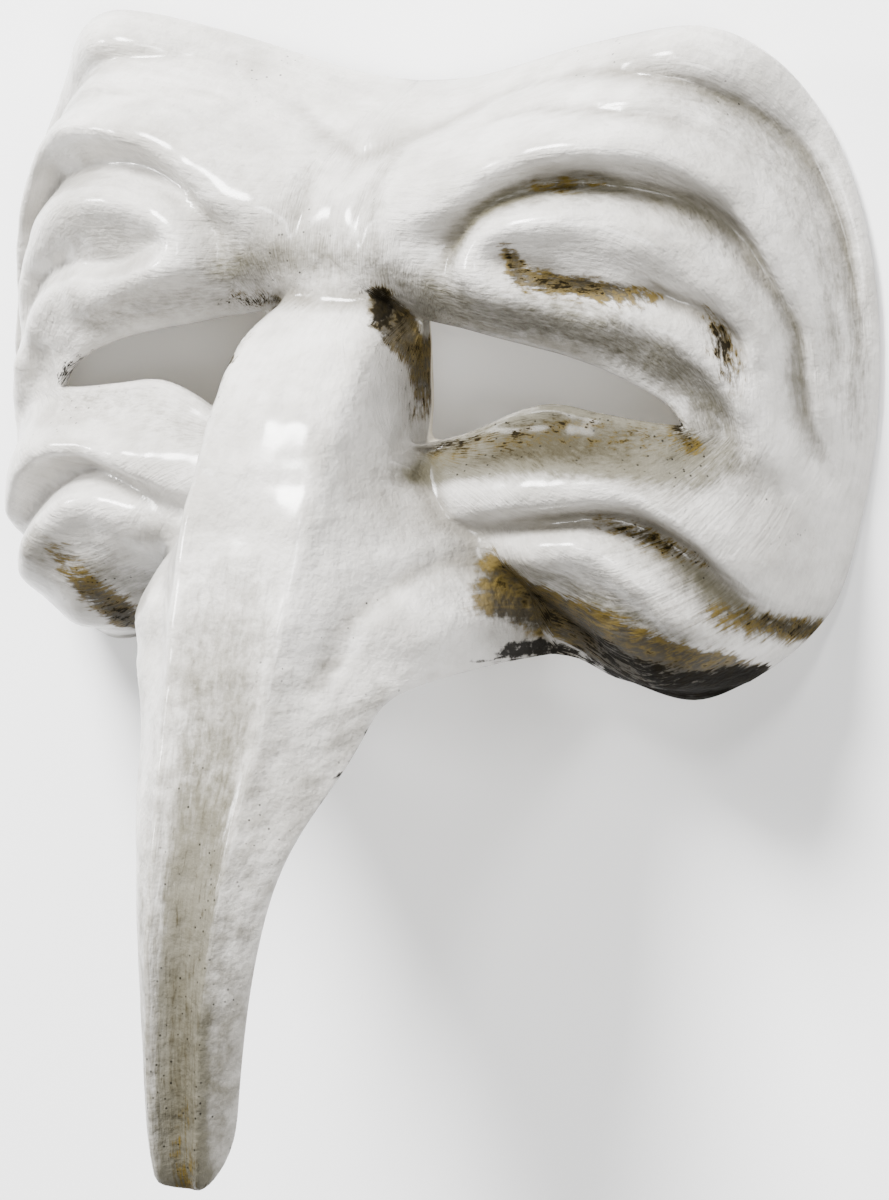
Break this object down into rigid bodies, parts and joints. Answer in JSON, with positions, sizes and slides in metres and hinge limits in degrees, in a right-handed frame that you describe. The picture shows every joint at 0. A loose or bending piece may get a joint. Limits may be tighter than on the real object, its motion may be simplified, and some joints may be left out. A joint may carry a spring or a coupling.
{
  "type": "long-nosed half mask",
  "caption": "Hollow painted papier-mache half mask with a long drooping nose, carved brow and cheek folds and two open eye holes.",
  "frame": {"origin": "centre of the bounding box's underside: the level the mask's side rims rest on as it lies with its face up", "axes": "+Z out of the face, away from the wearer; +Y towards the forehead; +X towards the wearer's left"},
  "size_m": [0.17, 0.1914, 0.1029],
  "materials": {
    "painted_paper": "satin"
  },
  "bodies": {
    "root": {"mask_shell": "painted_paper"}
  },
  "joints": []
}
